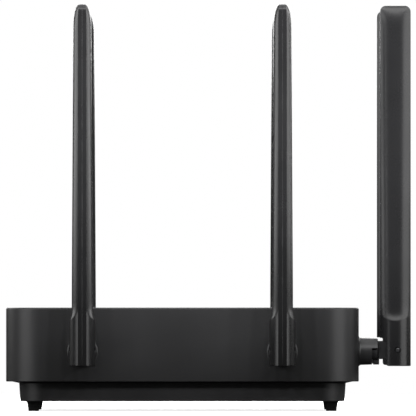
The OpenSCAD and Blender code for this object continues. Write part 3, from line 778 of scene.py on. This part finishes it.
def blade_body():
    """The blade with its base block, cut away into two ears that hold the knuckle's tongue."""
    # The notch takes all that is nearer the wall than the ears, and rounds the ears' lower corners
    corner_x = EAR_GAP + EAR_R
    outline = [(0, BLOCK_BOTTOM - 2), (corner_x + 0.6, BLOCK_BOTTOM - 2), (corner_x + 0.6, BLOCK_BOTTOM)]
    outline += [(corner_x - EAR_R * sind(a), BLOCK_BOTTOM + EAR_R * (1 - cosd(a)))
                for a in (0, 22, 45, 68, 90)]
    outline += [(EAR_GAP, NOTCH_Z - NOTCH_R), (EAR_GAP - NOTCH_R, NOTCH_Z), (0, NOTCH_Z)]
    notch = prism_y(outline, -8, 8)
    slot_half = TONGUE_T / 2 + FREE_GAP
    slot_start, slot_end = EAR_GAP - 2, PIN.x + TONGUE_R + FREE_GAP
    slot_bottom, ceiling = BLOCK_BOTTOM - 1, PIN.z + TONGUE_R + FREE_GAP
    slot = prism_y([(slot_start, slot_bottom), (slot_end, slot_bottom), (slot_end, ceiling - 2),
                    (slot_end - 0.6, ceiling - 0.6), (slot_end - 2, ceiling), (slot_start, ceiling)],
                   -slot_half, slot_half)
    rim_y = BLOCK_HALF_T - RIM_D + 1
    rims = [solid(circle_levels([(RIM_R, -1), (RIM_R, 1)], 32), ALONG_Y, (PIN.x, side * rim_y, PIN.z))
            for side in (-1, 1)]
    return cut(solid(blade_rings()), notch, slot, pin_hole(0.02), join(rims))


def half_of(bm, side):
    """The part of a blade on one side of its parting plane."""
    part = bm.copy()
    geometry = part.verts[:] + part.edges[:] + part.faces[:]
    bmesh.ops.bisect_plane(part, geom=geometry, dist=0.0001, plane_co=(0, side * PARTING, 0),
                           plane_no=(0, -side, 0), clear_outer=True)
    rim = [e for e in part.edges if e.is_boundary]
    bmesh.ops.triangle_fill(part, use_beauty=True, use_dissolve=True, edges=rim)
    bmesh.ops.recalc_face_normals(part, faces=part.faces)
    return part


def tongue():
    """Flat tongue with a round end and bevelled rims."""
    tip = arc(PIN.x, PIN.z, TONGUE_R, -90, 90, 24)
    outline = [(TONGUE_X, PIN.z - TONGUE_R)] + tip + [(TONGUE_X, PIN.z + TONGUE_R)]
    half, bevel = TONGUE_T / 2, 0.25
    cx = (TONGUE_X + PIN.x + TONGUE_R) / 2
    rings = []
    for y, inset in ((half, bevel), (half - bevel, 0), (-half + bevel, 0), (-half, bevel)):
        kx, kz = 1 - inset / (cx - TONGUE_X), 1 - inset / TONGUE_R
        rings.append([Vector((cx + (x - cx) * kx, y, PIN.z + (z - PIN.z) * kz)) for x, z in outline])
    return facing_out(rings)


def box_x(start, end, half_y, r, levels, n):
    """Upright block between two places along X."""
    return solid(rect_levels((end - start) / 2, half_y, r, levels, (start + end) / 2, 0, n))


def knuckle():
    """Barrel with snap barbs, stop lug and tongue, bored for the lead."""
    barrel = [(BARREL_R - 0.5, BARREL_START), (BARREL_R - 0.1, BARREL_START + 0.6), (BARREL_R - 0.1, BARB_X),
              (BARB_R, BARB_X + BARB_LEN), (BARREL_R, BARB_X + BARB_LEN + 0.01), (BARREL_R, NECK_X - 0.9),
              (BARREL_R - 0.15, NECK_X - 0.7), (NECK_R, NECK_X)]
    lug = box_x(LUG_START, LUG_END, LUG_W / 2, 0.3,
                [(0.3, -BOSS_R), (0.08, -BOSS_R + 0.08), (0, -BOSS_R + 0.3), (0, -1)], 4)
    bm = fuse(solid(circle_levels(barrel, 64), ALONG_X), tongue(), lug)
    bore = solid(circle_levels([(BORE_R, -7), (BORE_R, 12.4)], 32), ALONG_X)
    mouth = box_x(LEAD_SLOT_START, LEAD_SLOT_END, BORE_R, 0.5, [(0, -0.2), (0, 8)], 4)
    slits = [box_x(SLIT_START, SLIT_END, half_y, 0.1, [(0, -half_z), (0, half_z)], 2)
             for half_y, half_z in ((SLIT_W / 2, 7), (7, SLIT_W / 2))]
    return cut(bm, bore, mouth, pin_hole(RUNNING_GAP), *slits)


def pin():
    """Tilt pin with domed ends."""
    half = BLOCK_HALF_T - PIN_INSET
    dome = [(PIN_R - 0.45, half), (PIN_R - 0.15, half - 0.1), (PIN_R, half - 0.35)]
    levels = [(r, -y) for r, y in dome] + list(reversed(dome))
    return solid(circle_levels(levels, 32), ALONG_Y, (PIN.x, 0, PIN.z))


def build_antennas():
    body = blade_body()
    parts = {"shell_left": half_of(body, -1), "shell_right": half_of(body, 1), "knuckle": knuckle(),
             "hinge_pin": pin()}
    body.free()
    for name in ANTENNAS:
        for part, bm in parts.items():
            sharp = 24.0 if "shell" in part else 32.0
            piece(f"{name}_{part}_skin", bm.copy(), [f"{name}_{part}"], turn_to(name), sharp)
    for bm in parts.values():
        bm.free()


# ---------- sockets, buttons, screws ----------


def housing(node, r, n):
    """A socket's block with softened ends."""
    lo, hi, c = low(node), high(node), centre(node)
    half = (hi - lo) / 2
    levels = [(0.2, lo.y), (0, lo.y + 0.2), (0, hi.y - 0.25), (0.25, hi.y)]
    return rear_solid(lambda i: rounded_rect(half.x - i, half.z - i, r, n), levels, c.x, c.z)


def build_sockets():
    """Network sockets: a mouth for the plug and a notch below it for the plug's latch."""
    for node in NETWORK_PORTS:
        x, face, mouth_z = centre(node).x, high(node).y, low(node).z + MOUTH_Z
        mouth = rear_cutter(lambda i: rounded_rect(MOUTH_W / 2 - i, MOUTH_H / 2 - i, 0.3, 3),
                            face, MOUTH_D, 0.5, x, mouth_z + MOUTH_H / 2)
        notch = rear_cutter(lambda i: rounded_rect(LATCH_W / 2 - i, (LATCH_H + 1) / 2 - i, 0.2, 3),
                            face, MOUTH_D, 0.4, x, mouth_z + (1 - LATCH_H) / 2)
        piece(node + "_body", cut(housing(node, 0.5, 4), mouth, notch), [node])


def build_contacts():
    """Sprung contact wires: a flat root under the socket's ceiling, then a run that slopes down inwards."""
    wires = []
    half_w, half_t = CONTACT_W / 2, CONTACT_T / 2
    top = BOARD_TOP + MOUTH_Z + MOUTH_H - half_t
    bend_y = JACK_FACE - CONTACT_BEND
    run = CONTACT_RUN - half_t
    end = (bend_y - run * cosd(CONTACT_SLOPE), top - run * sind(CONTACT_SLOPE))
    route = (end, (bend_y, top), (JACK_FACE - CONTACT_ROOT, top))
    for node in NETWORK_PORTS:
        for k in range(CONTACTS):
            x = centre(node).x + (k - (CONTACTS - 1) / 2) * CONTACT_PITCH
            sides = ((-half_w, -half_t), (half_w, -half_t), (half_w, half_t), (-half_w, half_t))
            wires.append(facing_out([[Vector((x + dx, y, z + dz)) for dx, dz in sides] for y, z in route]))
    piece("contact_wires", join(wires), ["port_contacts"], None, 20.0)


def build_dc_jack():
    """Power inlet: a round well, and a centre pin with a thicker root and a domed end."""
    x, face = centre("dc_jack").x, high("dc_jack").y
    pin_lo, pin_hi, pin_z = low("dc_jack_pin"), high("dc_jack_pin"), centre("dc_jack_pin").z
    well = rear_cutter(lambda i: circle(DC_WELL_R - i), face, DC_WELL_D, 0.45, x, pin_z)
    piece("dc_jack_body", cut(housing("dc_jack", 0.8, 5), well), ["dc_jack"])
    root_r = (pin_hi.x - pin_lo.x) / 2
    root_end = JACK_FACE - DC_ROOT_END
    levels = [(root_r, pin_lo.y), (root_r, root_end - 0.05), (root_r - 0.05, root_end),
              (DC_PIN_R, root_end + 0.01)]
    levels += [(DC_PIN_R - inset, pin_hi.y - back)
               for inset, back in ((0, 0.7), (0.12, 0.4), (0.35, 0.12), (0.65, 0))]
    piece("dc_jack_centre_pin", rear_solid(lambda r: circle(r, 32), levels, x, pin_z), ["dc_jack_pin"])


def build_buttons():
    """Mesh button with a dished face, and the plunger behind the reset pinhole."""
    inner = REAR_Y - WALL
    shoulder = inner - STEM_GAP
    face = high("mesh_button").y
    levels = [(MESH_STEM_R, low("mesh_button").y), (MESH_STEM_R, shoulder), (MESH_FLANGE_R, shoulder + 0.01),
              (MESH_FLANGE_R, inner - 0.3), (MESH_R, inner - 0.29)]
    levels += [(MESH_R - inset, face - back) for inset, back in
               ((0, 0.35), (0.08, 0.14), (0.28, 0), (0.7, 0.02), (1.7, 0.12), (2.5, 0.15))]
    cap = rear_solid(lambda r: circle(r, 48), levels, centre("mesh_button").x, BUTTON_Z)
    piece("mesh_button_cap", cap, ["mesh_button"])
    face = high("reset_button").y
    levels = [(RESET_STEM_R, low("reset_button").y), (RESET_STEM_R, shoulder), (RESET_R, shoulder + 0.01),
              (RESET_R, face - 0.15), (RESET_R - 0.15, face)]
    plunger = rear_solid(lambda r: circle(r, 32), levels, centre("reset_button").x, BUTTON_Z)
    piece("reset_button_plunger", plunger, ["reset_button"])


def build_screws():
    """Pan-head screws seen from below, each with a cross recess."""
    screws = []
    bottom, top = low("case_screws").z, high("case_screws").z
    head = ((1.2, 0), (0.6, 0.12), (0.2, 0.45), (0, 1.0), (0, 1.75))
    levels = [(SCREW_HEAD_R - inset, bottom + rise) for inset, rise in head]
    levels += [(SCREW_SHANK_R, bottom + 1.85), (SCREW_SHANK_R, top - 1.2), (0.4, top)]
    recess = [(0, bottom - 1), (0, bottom + 1)]
    for sx, sy in CORNERS:
        bm = solid(circle_levels(levels, 32))
        for w, d in ((SCREW_CROSS_L, SCREW_CROSS_W), (SCREW_CROSS_W, SCREW_CROSS_L)):
            bm = cut(bm, solid(rect_levels(w / 2, d / 2, 0.1, recess, 0, 0, 2)))
        bm.transform(Matrix.Translation((sx * SCREW_X, MID_Y + sy * SCREW_Y, 0)))
        screws.append(bm)
    piece("case_screw_set", join(screws), ["case_screws"])


def finish_cad_nodes():
    """CAD nodes that stay visible get their slot's material, and all but the leads get softened edges."""
    replaced = {n for o in bpy.data.objects if "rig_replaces" in o for n in o["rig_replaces"]}
    for name, obj in frame["nodes"].items():
        if name in replaced:
            continue
        obj.data.materials.clear()
        obj.data.materials.append(MATERIALS[SLOT_OF[name]])
        weld = obj.modifiers.new("weld", "WELD")
        weld.merge_threshold = 0.002 * MM
        if name != "coax_leads":
            bevel = obj.modifiers.new("edge", "BEVEL")
            bevel.width = 0.12 * MM
            bevel.segments = 2
            bevel.limit_method = "ANGLE"
            bevel.angle_limit = math.radians(50)


# ---------- floor, lights, camera ----------

FLOOR_HALF = 1.6
FLOOR_GLOW = 0.8
AMBIENT = 0.04
KEY_AZIMUTHS = (-40, -24, -8, 8, 24, 40)
KEY_DISTANCE, KEY_HEIGHT = 1.3, 0.62
KEY_POWER = 760
KEY_CONE, KEY_BLEND, KEY_RADIUS = 60, 0.267, 0.04
# Where the lower edge of the keys' cones falls: 10 mm below the table, under the right side wall
KEY_EDGE = Vector((0.106, 0.0, -0.010))
LENS, SENSOR = 1700.0, 36.0
# The camera frames a stretch VIEW_W wide of the upright plane at NEAR_X, close to the right side wall.
# It stands at the height of the roof's edge and aims at VIEW_Y and VIEW_Z.
VIEW_W, VIEW_Y, VIEW_Z = 0.1885, -0.0002, 0.0921
EYE_Z, NEAR_X = 0.047, 0.100


def stage():
    """A bright table that neither lights the router nor shows in it."""
    floor = bpy.data.meshes.new("floor")
    s = FLOOR_HALF
    floor.from_pydata([(-s, -s, 0), (s, -s, 0), (s, s, 0), (-s, s, 0)], [], [(0, 1, 2, 3)])
    n = Nodes("floor_paint")
    speck = n.noise(400, 2)
    n.set(Base_Color=n.mix(speck, (0.80, 0.80, 0.80), (0.84, 0.84, 0.84)), Roughness=0.9)
    n.set(Emission_Color=(1.0, 1.0, 1.0), Emission_Strength=FLOOR_GLOW)
    floor.materials.append(n.material)
    obj = bpy.data.objects.new("floor", floor)
    bpy.context.scene.collection.objects.link(obj)
    obj.visible_glossy = False
    obj.visible_diffuse = False


def studio_world():
    """White to the camera and nearly dark to everything else."""
    world = bpy.data.worlds.new("studio")
    bpy.context.scene.world = world
    world.use_nodes = True
    tree = world.node_tree
    background = tree.nodes["Background"]
    background.inputs["Color"].default_value = (1, 1, 1, 1)
    path = tree.nodes.new("ShaderNodeLightPath")
    strength = tree.nodes.new("ShaderNodeMapRange")
    strength.inputs["To Min"].default_value = AMBIENT
    strength.inputs["To Max"].default_value = 1.0
    tree.links.new(path.outputs["Is Camera Ray"], strength.inputs["Value"])
    tree.links.new(strength.outputs["Result"], background.inputs["Strength"])


def aim(name, data, place, target):
    """Links a light or camera at a place, turned towards a target."""
    obj = bpy.data.objects.new(name, data)
    obj.location = place
    obj.rotation_euler = (Vector(target) - Vector(place)).to_track_quat("-Z", "Y").to_euler()
    bpy.context.scene.collection.objects.link(obj)
    return obj


def polar(azimuth, distance, height):
    """Place round the object; azimuth 0 is the +X side and 90 the +Y side."""
    return (distance * cosd(azimuth), distance * sind(azimuth), height)


MIDDLE = (0.0, 0.0, 0.10)
# Name, place, target, width, height, radiance, and whether it lights surfaces as well as showing in them.
# The strips show down the rounded corners and the blades, the crown in what leans upwards.
SOFTBOXES = (
    ("strip_front", polar(-55, 1.1, 0.44), MIDDLE, 0.80, 1.0, 2.7, False),
    ("strip_rear", polar(55, 1.1, 0.44), MIDDLE, 0.80, 1.0, 2.7, False),
    ("rim_front", polar(-106, 0.50, 0.26), (0.1, -0.05, 0.14), 0.34, 0.40, 2.0, True),
    ("rim_rear", (-0.10, 0.42, 0.26), (0.1, 0.05, 0.14), 0.46, 0.40, 2.0, True),
    ("strip_back", polar(180, 1.1, 0.50), MIDDLE, 0.9, 0.7, 4.5, True),
    ("overhead", (0.0, 0.0, 1.2), (0, 0, 0), 1.2, 1.2, 1.6, True),
    ("crown", polar(0, 0.9, 0.80), (0.1, 0.0, 0.05), 1.3, 0.5, 3.6, False),
)


def softboxes():
    for name, place, target, size, size_y, radiance, lights_surfaces in SOFTBOXES:
        data = bpy.data.lights.new(name, "AREA")
        data.shape = "RECTANGLE"
        data.size, data.size_y = size, size_y
        data.energy = radiance * math.pi * size * size_y
        obj = aim(name, data, place, target)
        obj.visible_diffuse = lights_surfaces


def key_lights():
    """A bank of keys whose soft lower edge falls across the lower half of the case."""
    for k, azimuth in enumerate(KEY_AZIMUTHS):
        name = f"key_{k + 1}"
        data = bpy.data.lights.new(name, "SPOT")
        data.energy = KEY_POWER / len(KEY_AZIMUTHS)
        data.spot_size, data.spot_blend = math.radians(KEY_CONE), KEY_BLEND
        data.shadow_soft_size = KEY_RADIUS
        place = Vector(polar(azimuth, KEY_DISTANCE, KEY_HEIGHT))
        down = (KEY_EDGE - place).normalized()
        sideways = down.cross(Vector((0, 0, 1))).normalized()
        lift = Matrix.Rotation(math.radians(KEY_CONE / 2), 3, sideways)
        key = aim(name, data, place, place + lift @ down)
        key.visible_glossy = False


def camera():
    data = bpy.data.cameras.new("camera")
    data.lens, data.sensor_width = LENS, SENSOR
    data.clip_start, data.clip_end = 0.1, 100
    place = (NEAR_X + LENS * VIEW_W / SENSOR, VIEW_Y, EYE_Z)
    bpy.context.scene.camera = aim("camera", data, place, (NEAR_X, VIEW_Y, VIEW_Z))


build_cover()
build_tray()
build_plate()
build_feet()
build_antennas()
build_sockets()
build_contacts()
build_dc_jack()
build_buttons()
build_screws()
finish_cad_nodes()
stage()
studio_world()
softboxes()
key_lights()
camera()
bpy.context.scene.view_settings.view_transform = "Standard"
